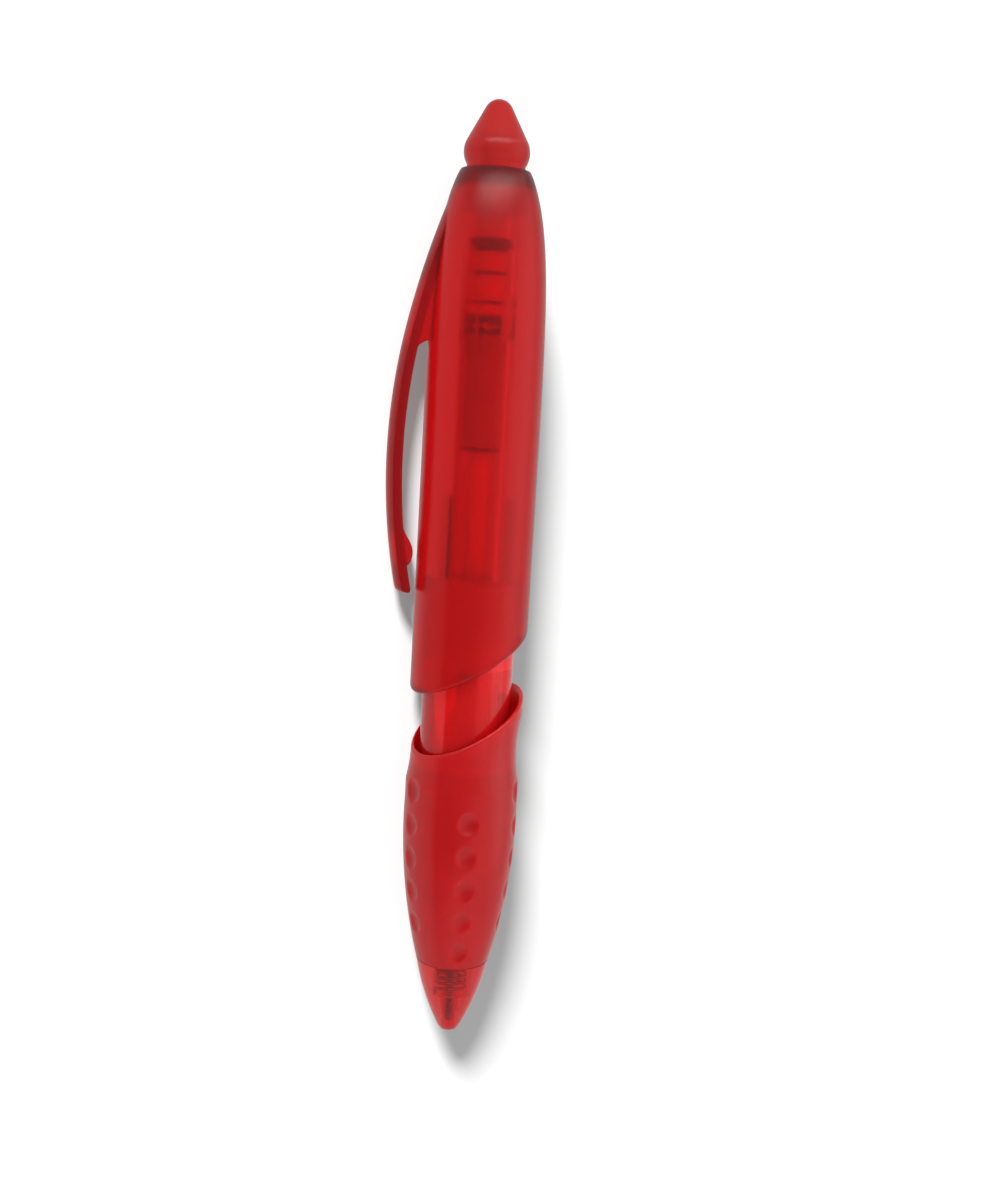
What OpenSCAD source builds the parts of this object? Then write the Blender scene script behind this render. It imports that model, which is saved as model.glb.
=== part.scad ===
// Retractable ballpoint pen, lying on a table with its clip touching the table.
// Each piece is drawn upright on its own axis, nose end at height zero, and then laid down.
// The clip points along +X of the upright pen. Sizes are in millimetres.

/* [Upper barrel] */
// Outer diameter of the barrel
barrel_d = 16; // [15:0.1:18]
// Height of the rim above the nose end
rim_z = 120.9; // [119:0.1:130]
// Outer diameter of the rim
rim_d = 9.5; // [9.4:0.1:11]
// Length of the shoulder that tapers to the rim
shoulder_len = 30; // [24:0.5:34]
// Length over which the shoulder's taper dies away
shoulder_fade = 7.2; // [5:0.1:9]
// Diameter of the long bore that holds the click mechanism
bore_d = 6.4; // [6.2:0.1:7.4]
// Length of the narrow throat under the button's pocket
throat_len = 3.1; // [2:0.1:4]
// Steepness of the slanted lower edge, in degrees
slant_angle = 29; // [15:1:35]
// Turn of the slanted edge's low side away from the clip, in degrees
slant_turn = 12; // [0:1:30]
// Height of the middle of the slanted lower edge
slant_z = 54.2; // [53:0.1:57]

/* [Clip] */
// Width of the clip
clip_w = 5; // [4:0.1:7]
// Thickness of the clip at its crown
clip_t = 2.1; // [1.8:0.1:2.4]
// Height of the rounded crown above the clip's edges
clip_crown = 0.9; // [0.5:0.1:1.2]
// Distance from the pen's axis to the clip's outermost point
clip_reach = 12.8; // [12.4:0.1:14]
// Height of the clip's outermost point
clip_peak_z = 82.4; // [80:0.1:85]
// Radius of the clip's long curve
clip_curve = 85; // [75:1:100]
// Height of the clip's free end
clip_end_z = 64.1; // [62:0.1:66]
// Radius of the outer corner at the free end
clip_corner = 1.2; // [0.6:0.1:1.5]
// Height where the gap behind the clip ends
clip_root_z = 98.3; // [95:0.1:101]
// Height of the gripping bump
bump_z = 69.1; // [68:0.1:74]
// Radius of the gripping bump
bump_r = 2.8; // [2:0.1:3.5]
// Gap between the bump and the barrel
bump_gap = 0.75; // [0.4:0.05:1.2]

/* [Lower barrel] */
// Diameter of the flat nose end
nose_end_d = 2.7; // [2.6:0.1:3.4]
// Length of the bare nose below the grip
nose_len = 10.9; // [10:0.1:13]
// Radius of the nose's outline
nose_curve = 37; // [25:1:60]
// Length of the narrow hole at the nose end
nose_hole_len = 3; // [2:0.1:3.2]
// Height of the step that the spring sits on
seat_z = 5.9; // [5.7:0.1:6.5]
// Diameter of the spring's chamber
chamber_d = 5; // [4.9:0.1:5.6]
// Height where the spring's chamber opens into the wider bore
chamber_z = 31; // [30:0.5:36]
// Diameter of the bare core tube
core_d = 12.5; // [11.5:0.1:13]
// Height of the core tube's top
core_top = 66.5; // [63:0.5:70]
// Diameter of the core tube's bore
core_bore_d = 6.4; // [6:0.1:7.4]
// Height of the shelf inside the grip's collar
shelf_z = 39.5; // [38.5:0.1:40]

/* [Grip] */
// Largest diameter of the grip
grip_d = 16; // [15.8:0.1:17]
// Diameter of the grip's lower edge
grip_foot_d = 10.4; // [10:0.1:11.5]
// Height where the grip becomes widest
grip_wide_z = 32; // [30:0.5:33]
// Thickness of the grip
grip_wall = 1.2; // [1.1:0.05:1.3]
// Height above the widest place where the grip's long curve ends
grip_brow = 2.72; // [2.5:0.02:2.9]
// Height of the collar's waist
waist_z = 42.3; // [41.5:0.1:43]
// Depth of the collar's waist
waist_depth = 0.52; // [0.2:0.02:0.55]
// Radius of the collar's hollow curve
waist_curve = 24; // [18:1:30]
// Flare of the collar's inner wall, in degrees
collar_flare = 3; // [0:0.1:3.2]
// Steepness of the grip's slanted rim, in degrees
rim_angle = 31; // [20:1:33]
// Turn of the grip rim's low side away from the clip, in degrees
rim_turn = 26; // [0:1:30]
// Gap along the axis between the grip's rim and the upper barrel
slant_gap = 8.1; // [6:0.1:9]

/* [Dimples] */
// Radius of the ball that scoops a dimple
dimple_r = 3.2; // [2.6:0.1:4]
// Depth of the highest dimple
dimple_depth = 0.42; // [0.3:0.02:0.5]
// Loss of depth from one dimple to the next one down
dimple_fade = 0.025; // [0:0.005:0.03]
// Height of the highest dimple
dimple_z = 36.4; // [35:0.1:37]
// Distance between dimples in a row
dimple_step = 4.82; // [4:0.02:4.9]
// Dimples in each row
dimple_count = 5; // [3:1:5]
// Drop of each side's middle row below its two outer rows
dimple_drop = 3.35; // [3.2:0.05:3.6]
// Angle between the rows on one side, in degrees
dimple_spread = 67; // [55:1:68]
// Turn of the middle row away from the clip, in degrees
dimple_turn = 92; // [85:1:95]

/* [Button] */
// Diameter of the button's belly
button_d = 8.84; // [8.6:0.02:9]
// Diameter of the button's neck at the rim
neck_d = 7.85; // [7:0.05:8.2]
// Height of the button's tip above the rim
button_len = 9.2; // [8.5:0.1:11]
// Height of the belly above the rim
belly_z = 2.4; // [1.8:0.1:3]
// Radius of the belly's outline
belly_r = 3.2; // [2.5:0.1:4.5]
// Half angle of the button's cone, in degrees
cone_angle = 27; // [22:0.5:29]
// Radius of the button's rounded tip
tip_r = 2; // [1.5:0.1:2.4]
// Travel of the button
travel = 5.5; // [4:0.1:5.6]
// Depth of the neck's foot below the rim at rest
neck_tuck = 0.6; // [0.3:0.05:1]

/* [Click mechanism] */
// Diameter of the plunger's stem
stem_d = 4.4; // [3.8:0.1:4.8]
// Length of stem inside the button
stem_grip = 5.2; // [4:0.1:5.6]
// Thickness of the plunger's stop ring
stop_t = 1.1; // [0.8:0.1:1.6]
// Diameter of the plunger's two thin rings and of its crown
crown_d = 5.2; // [4.9:0.1:5.4]
// Thickness of the thin rings
ring_t = 0.4; // [0.3:0.05:0.8]
// Drop from the stop ring's top to the upper thin ring
ring_a_drop = 4.4; // [3.6:0.1:5]
// Drop from the stop ring's top to the lower thin ring
ring_b_drop = 7.9; // [7:0.1:8.1]
// Drop from the stop ring's top to the crown's top
crown_drop = 8.4; // [8.3:0.1:8.8]
// Length of the crown without its teeth
crown_len = 1.9; // [1.5:0.1:2.4]
// Height of the crown's and the rotor's teeth
tooth_h = 0.85; // [0.6:0.05:0.9]
// Teeth round the crown
tooth_count = 8; // [8:1:8]
// Guide ribs in the barrel
rib_count = 4; // [4:1:4]
// Width of a guide rib
rib_w = 1.6; // [1.2:0.1:1.8]
// Length of the guide ribs
rib_len = 6.1; // [4:0.1:6.2]
// Engagement of the rotor's lugs between the ribs at rest
rib_overlap = 1; // [0.6:0.1:1.2]
// Width of a rotor lug
lug_w = 1.4; // [1:0.1:1.5]
// Height of a rotor lug
lug_h = 2.9; // [2:0.1:4]
// Diameter of the rotor's body
rotor_d = 5.7; // [5.2:0.1:5.8]
// Length of the rotor without its teeth
rotor_len = 15.7; // [12:0.1:18]
// Depth of the rotor's socket for the refill
rotor_socket = 3; // [2:0.1:5]

/* [Refill] */
// Outer diameter of the refill tube
refill_d = 3; // [2.8:0.05:3.2]
// Bore of the refill tube
refill_bore_d = 2.1; // [1.8:0.05:2.2]
// Height of the refill tube's lower end at rest
refill_z = 16; // [15:0.1:18]
// Height of the collar that the spring pushes
collar_z = 27; // [26:0.1:28]
// Thickness of the collar
collar_t = 1.2; // [0.8:0.1:1.6]
// Diameter of the collar
collar_d = 4.7; // [4.4:0.05:4.8]
// Length of the ink column
ink_len = 47; // [20:1:55]
// Diameter of the point's front tube
point_d = 1.8; // [1.7:0.02:1.9]
// Diameter of the point's back part
point_back_d = 2.3; // [2.2:0.02:2.5]
// Height where the point's back part starts at rest
point_step_z = 10; // [9.9:0.1:11.5]
// Length of the point's shank inside the refill tube
shank_len = 5; // [3:0.1:7]
// Diameter of the ink channel through the point
channel_d = 0.6; // [0.4:0.05:0.7]
// Diameter of the writing ball
ball_d = 1; // [0.8:0.05:1]
// Height of the ball's lowest point above the nose end at rest
tip_depth = 1.5; // [1.2:0.1:2]

/* [Spring] */
// Wire diameter of the return spring
wire_d = 0.45; // [0.35:0.05:0.5]
// Mean diameter of the coils
coil_d = 4.1; // [3.9:0.05:4.2]
// Close turns at the lower end
low_turns = 3; // [1:1:4]
// Open turns
open_turns = 9; // [6:1:9]
// Close turns at the upper end
high_turns = 2; // [1:1:3]
// Clear gap between close turns
close_gap = 0.45; // [0.42:0.01:0.6]

/* [Fits] */
// Radial clearance of sliding and turning pieces
run_fit = 0.08; // [0.05:0.01:0.1]
// Radial clearance of pieces that are pushed together
push_fit = 0.02; // [0.01:0.01:0.05]
// Clearance between faces that rest on each other
rest_gap = 0.05; // [0.02:0.01:0.1]

/* [Hidden] */
$fn = 96;
over = 1;
barrel_r = barrel_d / 2;
grip_r = grip_d / 2;

// Levels of the button, its pocket and the plunger
pocket_z = rim_z - neck_tuck - travel - rest_gap;
throat_z = pocket_z - throat_len;
stop_z = throat_z - rest_gap;
button_z = rim_z + button_len;
crown_z = stop_z - crown_drop;
crown_tip_z = crown_z - crown_len - tooth_h;

// Levels of the rotor, the refill and the spring
rotor_tip_z = crown_tip_z - rest_gap;
rotor_root_z = rotor_tip_z - tooth_h;
rotor_z = rotor_root_z - rotor_len;
refill_top = rotor_z + rotor_socket - rest_gap;
rib_z = rotor_root_z - rib_overlap;
rib_r = crown_d / 2 + run_fit + 0.05;
shank_top = refill_z + shank_len;

// Clip's curve: centre of the long curve, and the rounded crown across it
clip_c = clip_reach - clip_curve;
crown_r = (clip_w * clip_w / 4 + clip_crown * clip_crown) / (2 * clip_crown);
clip_end_r = clip_c + sqrt(pow(clip_curve, 2) - pow(clip_end_z - clip_peak_z, 2));
clip_low_turn = asin((clip_end_z - clip_peak_z) / clip_curve);
clip_top_turn = acos((barrel_r * 0.7 - clip_c) / clip_curve);

// Lying pose: the clip's edge and the barrel touch the table together
rest_r = max(barrel_r, grip_r);
edge_r = clip_reach - clip_crown;
lie_turn = asin(rest_r / norm([edge_r, clip_w / 2])) - atan(clip_w / 2 / edge_r);
lie_left = (clip_reach - crown_r) * cos(lie_turn) + crown_r;

// Slanted planes of the barrel's edge and of the grip's rim
grip_rim_z = slant_z - slant_gap;

// Grip's long curve, and the lower barrel's curve under it
grip_drop = (grip_d - grip_foot_d) / 2;
grip_run = grip_wide_z - nose_len;
grip_curve = (grip_run * grip_run + grip_drop * grip_drop) / (2 * grip_drop);
grip_c = grip_r - grip_curve;
brow_z = grip_wide_z + grip_brow;
brow_r = grip_c + sqrt(pow(grip_curve, 2) - pow(grip_brow, 2));
bed_curve = grip_curve - grip_wall;
bed_r = grip_r - grip_wall;

// Nose's outline, an arc through the nose end and the grip's lower edge
nose_a = [nose_end_d / 2, 0];
nose_b = [grip_foot_d / 2, nose_len];
nose_chord = norm(nose_b - nose_a);
nose_side = [nose_a[1] - nose_b[1], nose_b[0] - nose_a[0]] / nose_chord;
nose_c = (nose_a + nose_b) / 2 + nose_side * sqrt(pow(nose_curve, 2) - pow(nose_chord / 2, 2));

// Button's outline: belly arc, cone and rounded tip
belly_c = [button_d / 2 - belly_r, rim_z + belly_z];
belly_low = -acos((neck_d / 2 - belly_c[0]) / belly_r);
tip_c = [0, button_z - tip_r];
cone_dir = [cos(cone_angle), sin(cone_angle)];
belly_end = belly_c + belly_r * cone_dir;
tip_start = tip_c + tip_r * cone_dir;

// Spring's levels and pitches
coil_r = coil_d / 2;
bend_r = 0.6;
spring_z = seat_z + rest_gap;
spring_top = collar_z - rest_gap;
coil_low = spring_z + wire_d + bend_r;
coil_top = spring_top - wire_d - bend_r;
close_pitch = wire_d + close_gap;
open_pitch = (coil_top - coil_low - close_pitch * (low_turns + high_turns)) / open_turns;
turns = low_turns + open_turns + high_turns;
bend_turn = bend_r / coil_r * 180 / PI;
steps = turns * 8;

function arc(c, r, from, to, n) = [for (i = [0:n]) c + r * [cos(from + (to - from) * i / n),
    sin(from + (to - from) * i / n)]];

function shoulder(q) = (exp(-q / shoulder_fade) - exp(-shoulder_len / shoulder_fade))
    / (1 - exp(-shoulder_len / shoulder_fade));

function coil_z(t) = t < low_turns ? coil_low + close_pitch * t
    : t < low_turns + open_turns ? coil_low + close_pitch * low_turns + open_pitch * (t - low_turns)
    : coil_top - close_pitch * (turns - t);

spring_path = concat(
    [[0, spring_z], [0, spring_z + wire_d]],
    [for (a = [30, 60]) [bend_turn * (1 - cos(a)), spring_z + wire_d + bend_r * sin(a)]],
    [for (i = [0:steps]) [bend_turn + 45 * i, coil_z(i / 8)]],
    [for (a = [30, 60, 90]) [bend_turn + 360 * turns + bend_turn * sin(a),
        coil_top + bend_r * (1 - cos(a))]],
    [[bend_turn * 2 + 360 * turns, spring_top]]);

function on_coil(p) = [coil_r * cos(p[0]), coil_r * sin(p[0]), p[1]];

spring_points = [for (p = spring_path) on_coil(p)];
spring_last = len(spring_points) - 1;

function heading(i) = spring_points[min(i + 1, spring_last)] - spring_points[max(i - 1, 0)];

function wire_ring(i) = let (n = [cos(spring_path[i][0]), sin(spring_path[i][0]), 0],
    t = heading(i) / norm(heading(i)), b = cross(t, n) / norm(cross(t, n)))
    [for (a = [0:60:300]) spring_points[i] + wire_d / 2 * (cos(a) * n + sin(a) * b)];

least_gap = min([for (i = [0:spring_last]) for (j = [i + 5:1:spring_last])
    norm(spring_points[i] - spring_points[j])]) - wire_d;
echo(least_gap_between_turns = least_gap);

module lay() {
    translate([(lie_left - rest_r) / 2, -button_z / 2, rest_r])
        rotate([-90, 180 - lie_turn, 0])
            children();
}

module half_space(z, angle, turn, side) {
    translate([0, 0, z])
        rotate([0, angle, turn])
            translate([0, 0, side * rim_z])
                cube(2 * rim_z, center = true);
}

module clip_section(t) {
    intersection() {
        translate([clip_curve - crown_r, 0])
            circle(r = crown_r);
        translate([clip_curve - t, -clip_w / 2])
            square([t + over, clip_w]);
    }
}

module clip_sweep(t, low, high) {
    translate([clip_c, 0, clip_peak_z])
        rotate([90, 0, 0])
            rotate([0, 0, low])
                rotate_extrude(angle = high - low)
                    clip_section(t);
}

module clip() {
    difference() {
        union() {
            clip_sweep(clip_t, clip_low_turn, clip_top_turn);
            intersection() {
                clip_sweep(clip_t + bump_r, clip_low_turn, 0);
                translate([barrel_r + bump_gap + bump_r, 0, bump_z])
                    rotate([90, 0, 0])
                        cylinder(r = bump_r, h = clip_w + over, center = true);
            }
        }
        translate([clip_end_r - clip_corner, -clip_w / 2 - over, clip_end_z - over])
            difference() {
                cube([clip_corner + over, clip_w + 2 * over, clip_corner + over]);
                translate([0, -over, clip_corner + over])
                    rotate([-90, 0, 0])
                        cylinder(r = clip_corner, h = clip_w + 4 * over);
            }
        translate([0, -clip_w / 2 - over, clip_end_z - 20])
            cube([clip_reach + over, clip_w + 2 * over, 20]);
    }
    intersection() {
        clip_sweep(clip_t * 2 + barrel_r, clip_low_turn, clip_top_turn);
        translate([barrel_r * 0.8, -clip_w / 2, clip_root_z])
            cube([barrel_r, clip_w, 8]);
    }
}

module upper_barrel() {
    low_z = slant_z - barrel_d;
    color("firebrick")
        lay() {
            difference() {
                union() {
                    rotate_extrude()
                        polygon(concat([[0, low_z], [barrel_r, low_z]],
                            [for (i = [16:-1:0]) let (q = shoulder_len * pow(i / 16, 1.6))
                                [barrel_r - (barrel_r - rim_d / 2) * shoulder(q), rim_z - q]],
                            [[0, rim_z]]));
                    clip();
                }
                translate([0, 0, pocket_z])
                    cylinder(d = button_d + 2 * run_fit, h = rim_z - pocket_z + over);
                translate([0, 0, core_top])
                    cylinder(d = stem_d + 2 * run_fit, h = rim_z - core_top);
                translate([0, 0, low_z - over])
                    cylinder(d = bore_d, h = throat_z - low_z + over);
                translate([0, 0, low_z - over])
                    cylinder(d = core_d + 2 * push_fit, h = core_top + rest_gap - low_z + over);
                half_space(slant_z, slant_angle, slant_turn, -1);
            }
            for (i = [0:rib_count - 1])
                rotate([0, 0, 360 * (i + 0.5) / rib_count])
                    translate([rib_r, -rib_w / 2, rib_z])
                        cube([bore_d / 2 - rib_r + 0.3, rib_w, rib_len]);
        }
}

module push_button() {
    color("crimson")
        lay()
            difference() {
                rotate_extrude()
                    polygon(concat([[0, rim_z - neck_tuck], [neck_d / 2, rim_z - neck_tuck]],
                        arc(belly_c, belly_r, belly_low, cone_angle, 8),
                        arc(tip_c, tip_r, cone_angle, 90, 8)));
                translate([0, 0, rim_z - neck_tuck - over])
                    cylinder(d = stem_d + 2 * push_fit, h = stem_grip + rest_gap + over);
            }
}

module teeth_cut(d, up) {
    for (i = [0:tooth_count - 1])
        rotate([0, 0, 360 * i / tooth_count])
            rotate([90, 0, 90])
                linear_extrude(height = d)
                    polygon([[-PI * d / tooth_count / 2, up * tooth_h], [0, 0],
                        [PI * d / tooth_count / 2, up * tooth_h], [0, up * tooth_h * 2]]);
}

module plunger() {
    stop_d = bore_d - 2 * run_fit;
    color("tomato")
        lay()
            difference() {
                union() {
                    translate([0, 0, crown_z])
                        cylinder(d = stem_d, h = rim_z - neck_tuck + stem_grip - crown_z);
                    translate([0, 0, stop_z - stop_t])
                        cylinder(d = stop_d, h = stop_t);
                    for (drop = [ring_a_drop, ring_b_drop])
                        translate([0, 0, stop_z - drop])
                            cylinder(d = crown_d, h = ring_t);
                    translate([0, 0, crown_tip_z])
                        cylinder(d = crown_d, h = crown_z - crown_tip_z);
                }
                translate([0, 0, crown_tip_z + tooth_h])
                    teeth_cut(crown_d, -1);
                translate([0, 0, crown_tip_z - over])
                    cylinder(d = crown_d / 2, h = tooth_h + crown_len / 2 + over);
            }
}

module rotor_cam() {
    lug_r = bore_d / 2 - run_fit;
    color("gold")
        lay()
            difference() {
                union() {
                    translate([0, 0, rotor_z])
                        cylinder(d = rotor_d, h = rotor_len - lug_h);
                    translate([0, 0, rotor_root_z - lug_h])
                        cylinder(d = crown_d, h = lug_h + tooth_h);
                    intersection() {
                        translate([0, 0, rotor_root_z - lug_h])
                            cylinder(r = lug_r, h = lug_h);
                        for (i = [0:rib_count / 2 - 1])
                            rotate([0, 0, 360 * i / rib_count])
                                translate([-bore_d / 2, -lug_w / 2, rotor_root_z - lug_h])
                                    cube([bore_d, lug_w, lug_h]);
                    }
                }
                translate([0, 0, rotor_root_z])
                    teeth_cut(crown_d, 1);
                translate([0, 0, rotor_root_z - lug_h / 2])
                    cylinder(d = crown_d / 2, h = lug_h + tooth_h + over);
                translate([0, 0, rotor_z - over])
                    cylinder(d = refill_d + 2 * run_fit, h = rotor_socket + over);
            }
}

module bed_outline(fit) {
    intersection() {
        translate([grip_c, grip_wide_z])
            circle(r = bed_curve + fit);
        translate([0, nose_len - over])
            square([grip_d, grip_wide_z - nose_len + over]);
    }
}

module lower_barrel() {
    hole_r = point_d / 2 + run_fit;
    back_r = point_back_d / 2 + run_fit * 2;
    color("indianred")
        lay()
            rotate_extrude()
                difference() {
                    union() {
                        intersection() {
                            translate(nose_c)
                                circle(r = nose_curve);
                            square([grip_d, nose_len]);
                        }
                        bed_outline(0);
                        translate([0, grip_wide_z])
                            square([bed_r, shelf_z - grip_wide_z]);
                        translate([0, shelf_z])
                            square([core_d / 2, core_top - shelf_z]);
                    }
                    translate([0, -over])
                        square([hole_r, core_top]);
                    polygon([[0, nose_hole_len], [hole_r, nose_hole_len], [back_r, nose_hole_len + 1],
                        [back_r, seat_z + over], [0, seat_z + over]]);
                    translate([0, seat_z])
                        square([chamber_d / 2, core_top]);
                    translate([0, chamber_z])
                        square([core_bore_d / 2, core_top]);
                }
}

module grip_sleeve() {
    top_z = grip_rim_z + grip_d;
    color("brown")
        lay()
            difference() {
                rotate_extrude()
                    difference() {
                        union() {
                            intersection() {
                                translate([grip_c, grip_wide_z])
                                    circle(r = grip_curve);
                                translate([0, nose_len + rest_gap])
                                    square([grip_d, brow_z - nose_len - rest_gap]);
                            }
                            translate([0, brow_z])
                                square([brow_r, top_z - brow_z]);
                        }
                        translate([brow_r - waist_depth + waist_curve, waist_z])
                            circle(r = waist_curve);
                        bed_outline(push_fit);
                        polygon([[0, grip_wide_z], [bed_r + push_fit, grip_wide_z],
                            [bed_r + push_fit, shelf_z],
                            [bed_r + push_fit + (top_z - shelf_z) * tan(collar_flare), top_z],
                            [grip_d, top_z + over], [0, top_z + over]]);
                    }
                half_space(grip_rim_z, rim_angle, rim_turn, 1);
                dimples();
            }
}

module dimples() {
    for (side = [0, 180])
        for (row = [-1:1]) for (i = [0:dimple_count - 1]) {
            z = dimple_z - dimple_step * i - (row == 0 ? dimple_drop : 0);
            dip = dimple_r - dimple_depth + dimple_fade * i;
            tilt = asin((z - grip_wide_z) / grip_curve);
            rotate([0, 0, dimple_turn + side + dimple_spread * row])
                translate([grip_c + (grip_curve + dip) * cos(tilt), 0,
                    grip_wide_z + (grip_curve + dip) * sin(tilt)])
                    sphere(r = dimple_r);
        }
}

module return_spring() {
    color("silver")
        lay()
            polyhedron(points = [for (i = [0:spring_last]) for (p = wire_ring(i)) p],
                faces = concat(
                    [for (k = [1:4]) [0, k, k + 1]],
                    [for (k = [1:4]) [spring_last * 6, spring_last * 6 + k + 1, spring_last * 6 + k]],
                    [for (i = [0:spring_last - 1]) for (k = [0:5])
                        [i * 6 + k, i * 6 + 6 + k, i * 6 + 6 + (k + 1) % 6]],
                    [for (i = [0:spring_last - 1]) for (k = [0:5])
                        [i * 6 + k, i * 6 + 6 + (k + 1) % 6, i * 6 + (k + 1) % 6]]));
}

module refill_tube() {
    color("white")
        lay()
            difference() {
                union() {
                    translate([0, 0, refill_z])
                        cylinder(d = refill_d, h = refill_top - refill_z);
                    translate([0, 0, collar_z])
                        cylinder(d = collar_d, h = collar_t);
                }
                translate([0, 0, refill_z - over])
                    cylinder(d = refill_bore_d, h = refill_top - refill_z + 2 * over);
            }
}

module ink_column() {
    color("darkred")
        lay()
            translate([0, 0, shank_top + rest_gap])
                cylinder(d = refill_bore_d - 2 * push_fit, h = ink_len);
}

module refill_point() {
    ball_z = tip_depth + ball_d / 2;
    lip_z = tip_depth + ball_d * 0.3;
    cone_z = lip_z + 1.4;
    color("goldenrod")
        lay()
            difference() {
                rotate_extrude()
                    polygon([[0, lip_z], [ball_d * 0.56, lip_z], [point_d / 2, cone_z],
                        [point_d / 2, point_step_z], [point_back_d / 2, point_step_z + 0.4],
                        [point_back_d / 2, refill_z - rest_gap],
                        [refill_bore_d / 2 - push_fit, refill_z - rest_gap],
                        [refill_bore_d / 2 - push_fit, shank_top], [0, shank_top]]);
                translate([0, 0, ball_z])
                    sphere(d = ball_d + 0.04);
                translate([0, 0, ball_z])
                    cylinder(d = channel_d, h = shank_top);
            }
}

module writing_ball() {
    color("dimgray")
        lay()
            translate([0, 0, tip_depth + ball_d / 2])
                sphere(d = ball_d);
}

upper_barrel();
push_button();
plunger();
rotor_cam();
lower_barrel();
grip_sleeve();
return_spring();
refill_tube();
ink_column();
refill_point();
writing_ball();
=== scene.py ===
import math

import bmesh
import bpy
from mathutils import Matrix, Vector


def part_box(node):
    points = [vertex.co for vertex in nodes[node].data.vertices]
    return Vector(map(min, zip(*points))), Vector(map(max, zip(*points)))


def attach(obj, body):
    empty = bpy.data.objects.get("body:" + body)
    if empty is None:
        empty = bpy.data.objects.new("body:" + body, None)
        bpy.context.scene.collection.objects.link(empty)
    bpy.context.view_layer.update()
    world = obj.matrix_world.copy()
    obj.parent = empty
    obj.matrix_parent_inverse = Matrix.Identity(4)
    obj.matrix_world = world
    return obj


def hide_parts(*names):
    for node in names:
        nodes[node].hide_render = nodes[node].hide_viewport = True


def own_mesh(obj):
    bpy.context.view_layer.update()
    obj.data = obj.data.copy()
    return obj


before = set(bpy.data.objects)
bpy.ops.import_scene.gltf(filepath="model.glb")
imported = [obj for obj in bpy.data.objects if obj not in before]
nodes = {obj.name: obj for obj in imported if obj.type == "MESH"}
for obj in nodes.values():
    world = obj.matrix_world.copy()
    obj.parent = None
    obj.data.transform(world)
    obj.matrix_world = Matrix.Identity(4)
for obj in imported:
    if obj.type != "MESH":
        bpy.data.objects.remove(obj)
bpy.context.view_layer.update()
print("frame loaded:", len(nodes), "nodes")

# how the pen lies: it is drawn upright in millimetres, clip along +X, nose end at height zero
mm, perMetre = 0.001, 1000
lie = {"clipEdge": 11.9, "clipHalfWidth": 2.5, "restRadius": 8.0}
clipTurn = math.asin(lie["restRadius"] / math.hypot(lie["clipEdge"], lie["clipHalfWidth"]))
clipTurn -= math.atan(lie["clipHalfWidth"] / lie["clipEdge"])
inkLow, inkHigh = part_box("ink_column")
penAxis = (inkLow + inkHigh) / 2
noseEnd = Vector((penAxis.x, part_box("lower_barrel")[0].y, penAxis.z))
toRow = Matrix((
    (-math.cos(clipTurn), -math.sin(clipTurn), 0, noseEnd.x),
    (0, 0, 1, noseEnd.y),
    (-math.sin(clipTurn), math.cos(clipTurn), 0, noseEnd.z),
    (0, 0, 0, 1)))
toPen = toRow.inverted()

# meshing: crease angle, and in metres the welding distance of new points and of the joins' slivers
meshing = {"sharpDeg": 35, "weld": 1e-7, "sliver": 2e-6}


def lay(x, y, z):
    return toRow @ Vector((x * mm, y * mm, z * mm))


def arcPoints(cx, cz, radius, fromDeg, toDeg, count):
    turn = [math.radians(fromDeg + (toDeg - fromDeg) * i / count) for i in range(count + 1)]
    return [(cx + radius * math.cos(t), cz + radius * math.sin(t)) for t in turn]


def spread(start, end, count):
    return [start + (end - start) * i / count for i in range(count + 1)]


def finishMesh(piece, sharpDeg):
    for face in piece.data.polygons:
        face.use_smooth = True
    piece.data.set_sharp_from_angle(angle=math.radians(sharpDeg))
    return piece


def addPiece(name, points, faces, sharpDeg=meshing["sharpDeg"]):
    mesh = bpy.data.meshes.new(name)
    mesh.from_pydata([lay(*p) for p in points], [], faces)
    work = bmesh.new()
    work.from_mesh(mesh)
    bmesh.ops.remove_doubles(work, verts=work.verts, dist=meshing["weld"])
    bmesh.ops.recalc_face_normals(work, faces=work.faces)
    work.to_mesh(mesh)
    work.free()
    piece = bpy.data.objects.new(name, mesh)
    bpy.context.scene.collection.objects.link(piece)
    return finishMesh(piece, sharpDeg)


def latheFaces(rings, around, closed):
    faces = []
    last = rings if closed else rings - 1
    for i in range(last):
        low, high = i * around, (i + 1) % rings * around
        for k in range(around):
            n = (k + 1) % around
            faces.append((low + k, low + n, high + n, high + k))
    return faces


# outline points are (radius, height), with a third value where they follow the slanted plane
def lathe(name, outline, around, slope=0.0, lowSide=0.0, closed=True):
    points = []
    for radius, height, *slanted in outline:
        lean = slope if slanted else 0.0
        for k in range(around):
            turn = 2 * math.pi * k / around
            z = height - lean * radius * math.cos(turn - lowSide)
            points.append(Vector((radius * math.cos(turn), radius * math.sin(turn), z)))
    return addPiece(name, points, latheFaces(len(outline), around, closed))


def applyBoolean(piece, other, operation):
    cut = piece.modifiers.new("join", "BOOLEAN")
    cut.operation = operation
    cut.solver = "EXACT"
    cut.object = other
    bpy.context.view_layer.update()
    made = bpy.data.meshes.new_from_object(piece.evaluated_get(bpy.context.evaluated_depsgraph_get()))
    piece.modifiers.clear()
    old = piece.data
    piece.data = made
    bpy.data.meshes.remove(old)
    bpy.data.objects.remove(other)


def mergeSlivers(piece):  # closes the hair-thin faces that the joins leave
    work = bmesh.new()
    work.from_mesh(piece.data)
    bmesh.ops.remove_doubles(work, verts=work.verts, dist=meshing["sliver"])
    bmesh.ops.dissolve_degenerate(work, dist=meshing["sliver"], edges=work.edges)
    work.to_mesh(piece.data)
    work.free()


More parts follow.
